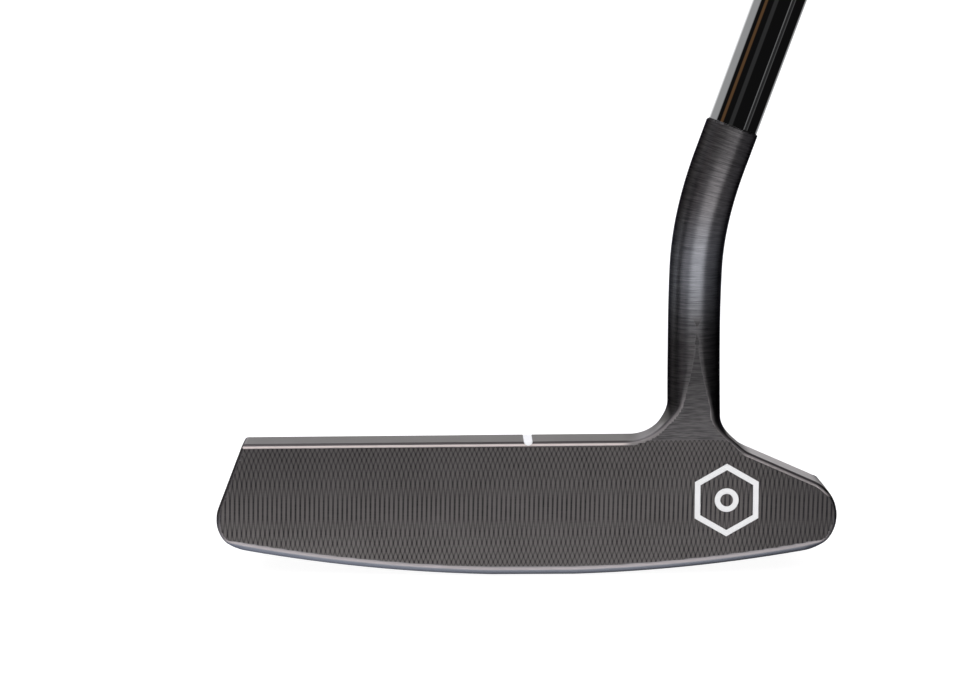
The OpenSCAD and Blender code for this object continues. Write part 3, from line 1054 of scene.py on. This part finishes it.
def rubber_material(name, low, high):
    """Soft black rubber with a fine pebble grain."""
    material, tree, shader = new_material(name)
    x, y, z = coordinates(tree)
    place = vector(tree, x, y, z)
    cell = tree.nodes.new("ShaderNodeTexVoronoi")
    tree.links.new(place.socket, cell.inputs["Vector"])
    cell.inputs["Scale"].default_value = 1.4
    pebble = Value(tree, cell.outputs["Distance"])
    cloud = noise(tree, place, 0.06, 3)
    dust = noise(tree, place, 3, 3)
    colour = blend(tree, cloud * 0.5 + dust * 0.5, low, high)
    shader.inputs["Sheen Weight"].default_value = 0.15
    shader.inputs["Sheen Roughness"].default_value = 0.5
    normal = bump(tree, pebble + dust * 0.3, 0.15, 0.7)
    finish_shader(tree, shader, colour, dust * 0.2 + 0.58, normal)
    return material


def plain_material(name, low, high, roughness, scale):
    """Cloudy material for the hidden tape, core and glue."""
    material, tree, shader = new_material(name)
    x, y, z = coordinates(tree)
    place = vector(tree, x, y, z)
    cloud = noise(tree, place, scale, 4)
    colour = blend(tree, cloud, low, high)
    finish_shader(tree, shader, colour, cloud * 0.2 + roughness, bump(tree, cloud, 0.05))
    return material


# ---------------------------------------------------------------- studio


def make_floor():
    """A pale light table. Reflections come from the studio's walls instead."""
    half = 60
    height = cad_low.z - 0.1 * MM
    corners = [(-half, -half, height), (half, -half, height),
               (half, half, height), (-half, half, height)]
    mesh = bpy.data.meshes.new("floor")
    mesh.from_pydata(corners, [], [(0, 1, 2, 3)])
    floor = bpy.data.objects.new("floor", mesh)
    bpy.context.scene.collection.objects.link(floor)
    material, tree, shader = new_material("floor_white")
    shader.inputs["Base Color"].default_value = (0.3, 0.3, 0.3, 1)
    shader.inputs["Roughness"].default_value = 0.9
    shader.inputs["Emission Color"].default_value = (1, 1, 1, 1)
    shader.inputs["Emission Strength"].default_value = 0.93
    mesh.materials.append(material)
    floor.visible_glossy = False


def studio_light(azimuth, elevation):
    """Red, green and blue light from each direction. All angles are in degrees."""
    def patch(az, el, width, height, soft, fade=None):
        """A soft box. Its sides fade over soft, and its top and bottom over fade if given."""
        across = (azimuth - az).abs().step(width + soft, width)
        up = (elevation - el).abs().step(height + (fade or soft), height)
        return across * up

    # White walls behind the club, darker high up and low down
    walls = azimuth.step(-88, -97) * 0.3 + azimuth.step(126, 136) * 0.3
    walls = walls + azimuth.abs().step(140, 165) * 0.7
    walls = walls * (elevation.step(80, 30) * 0.85 + 0.15)
    walls = walls * (elevation.step(-40, -24) * 0.7 + 0.3)

    # Boxes over and under the club, and a glow from the room's top and bottom
    overhead = patch(-2, 50, 24, 12, 30, 16) * 1.75
    table = patch(-2, -46, 22, 14, 24, 14) * 5.9
    glow = elevation.step(30, 55) * 1.2 + elevation.step(-22, -45) * 2
    glow = glow * (azimuth.abs().step(150, 120) * 0.6 + patch(-105, 0, 35, 90, 40) * 1.5)

    # Narrow upright strips, seen as lines in the chrome
    seam = (patch(43.5, -12, 1.4, 60, 1.6) * 0.12 + patch(61, -15, 1.5, 60, 2) * 0.05
            + patch(52, -14, 8, 60, 3) * 0.015 + patch(-19, 9, 6, 50, 5) * 0.022)
    warm = patch(-62, 18, 4, 60, 6)
    light = walls + overhead + table + glow + seam + 0.005
    red = light + warm * 0.09
    green = light + warm * 0.045
    blue = light + warm * 0.018 + table * 0.05 + glow * 0.1
    return red, green, blue


def make_world():
    """White walls behind the club, a dark room before it, and soft boxes in between."""
    world = bpy.data.worlds.new("studio")
    bpy.context.scene.world = world
    world.use_nodes = True
    tree = world.node_tree
    place = tree.nodes.new("ShaderNodeTexCoord")
    split = tree.nodes.new("ShaderNodeSeparateXYZ")
    tree.links.new(place.outputs["Generated"], split.inputs[0])
    x, y, z = [Value(tree, s) for s in split.outputs]
    # Azimuth counts from the camera's side towards the heel
    azimuth = x.math("ARCTAN2", y * -1) * (180 / math.pi)
    elevation = z.math("ARCSINE") * (180 / math.pi)
    colour = tree.nodes.new("ShaderNodeCombineColor")
    for socket, value in zip(colour.inputs, studio_light(azimuth, elevation)):
        plug(tree, socket, value)
    background = tree.nodes["Background"]
    tree.links.new(colour.outputs[0], background.inputs["Color"])
    white = tree.nodes.new("ShaderNodeBackground")
    white.inputs["Color"].default_value = (1, 1, 1, 1)
    white.inputs["Strength"].default_value = 1.2
    rays = tree.nodes.new("ShaderNodeLightPath")
    choose = tree.nodes.new("ShaderNodeMixShader")
    tree.links.new(rays.outputs["Is Camera Ray"], choose.inputs[0])
    tree.links.new(background.outputs[0], choose.inputs[1])
    tree.links.new(white.outputs[0], choose.inputs[2])
    tree.links.new(choose.outputs[0], tree.nodes["World Output"].inputs["Surface"])


# Millimetres and degrees; the lens is in Blender's own millimetres
CAMERA_PLACE = (-13.541, -356.614, 107.19)
CAMERA_DOWN = 9.94
CAMERA_TURN = -1.0
CAMERA_LENS = 69.28


def make_camera():
    """The photograph's viewpoint, in front of the face and a little above the head."""
    data = bpy.data.cameras.new("camera")
    data.lens = CAMERA_LENS
    data.clip_start = 0.01
    data.clip_end = 200
    camera = bpy.data.objects.new("camera", data)
    camera.location = [c * MM for c in CAMERA_PLACE]
    camera.rotation_euler = (math.radians(90 - CAMERA_DOWN), 0, math.radians(CAMERA_TURN))
    bpy.context.scene.collection.objects.link(camera)
    bpy.context.scene.camera = camera


def set_view():
    scene = bpy.context.scene
    scene.view_settings.view_transform = "Standard"
    scene.view_settings.look = "None"


# ---------------------------------------------------------------- assembly


def add(piece, node, material):
    piece.data.materials.clear()
    piece.data.materials.append(material)
    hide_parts(node)
    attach(piece, "root")


def dress(node, material):
    """Gives a CAD piece that stays in view a better material."""
    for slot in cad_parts[node].material_slots:
        slot.material = material


enamel = paint_material()
add(make_head(), "putter_head", head_material())
add(make_sight_paint(), "sight_line_fill", enamel)
add(make_mark_paint(), "face_mark_fill", enamel)
add(make_shaft(), "shaft", chrome_material())
add(make_grip(), "grip_skin",
    rubber_material("black_rubber", (0.012,) * 3, (0.03,) * 3))
add(make_cap(), "grip_end_cap",
    rubber_material("cap_rubber", (0.02,) * 3, (0.04,) * 3))
dress("shaft_bond", plain_material("epoxy", (0.6, 0.52, 0.3), (0.75, 0.68, 0.42), 0.25, 0.5))
dress("grip_tape", plain_material("tape", (0.62, 0.6, 0.52), (0.74, 0.72, 0.65), 0.55, 0.8))
dress("grip_core", plain_material("core_rubber", (0.02,) * 3, (0.05,) * 3, 0.7, 0.5))
make_floor()
make_world()
make_camera()
set_view()
